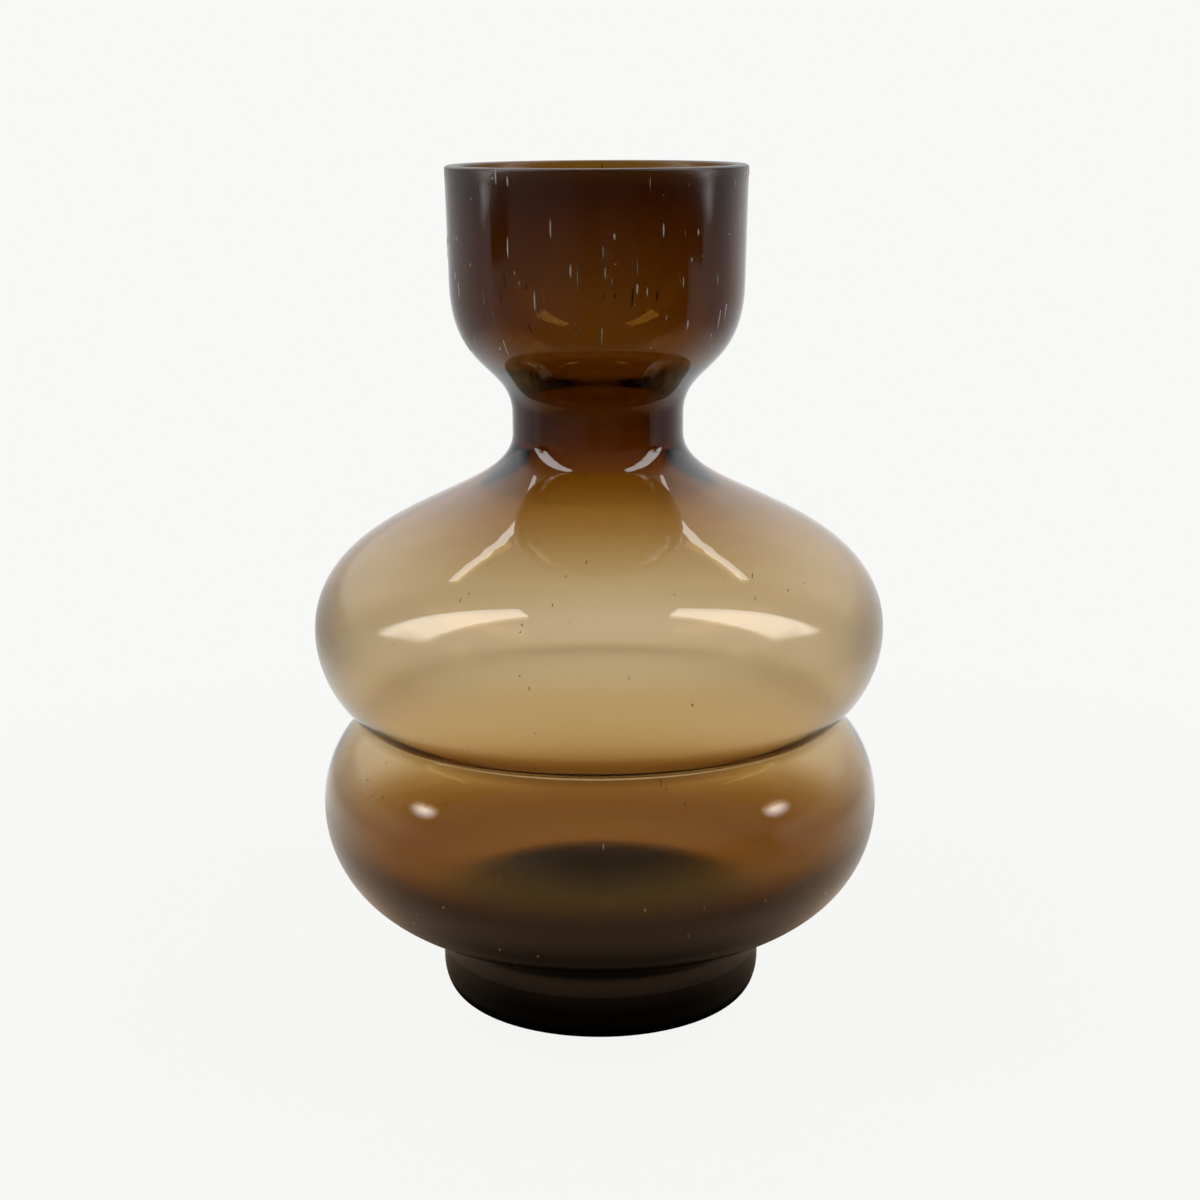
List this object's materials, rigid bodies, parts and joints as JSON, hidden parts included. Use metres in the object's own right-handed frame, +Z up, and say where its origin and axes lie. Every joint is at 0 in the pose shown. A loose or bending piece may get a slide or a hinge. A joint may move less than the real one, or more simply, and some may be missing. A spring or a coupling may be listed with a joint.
{
  "type": "gourd vase",
  "caption": "Smoky brown blown-glass gourd vase: cup-shaped mouth, narrow neck, upper and lower bulbs pinched at a waist, and a solid dark foot.",
  "frame": {"origin": "centre of the flat base, on the table", "axes": "+Z up along the vase's axis, from the base to the mouth; +X and +Y across, all sides alike"},
  "size_m": [0.204, 0.204, 0.3],
  "materials": {
    "smoky_glass": "clear, seeded, fire-polished",
    "brown_glass": "clear, seeded, fire-polished",
    "dark_glass": "near-black, polished, ground base"
  },
  "bodies": {
    "root": {"upper_vessel": "smoky_glass", "lower_vessel": "brown_glass", "foot": "dark_glass"}
  },
  "joints": []
}
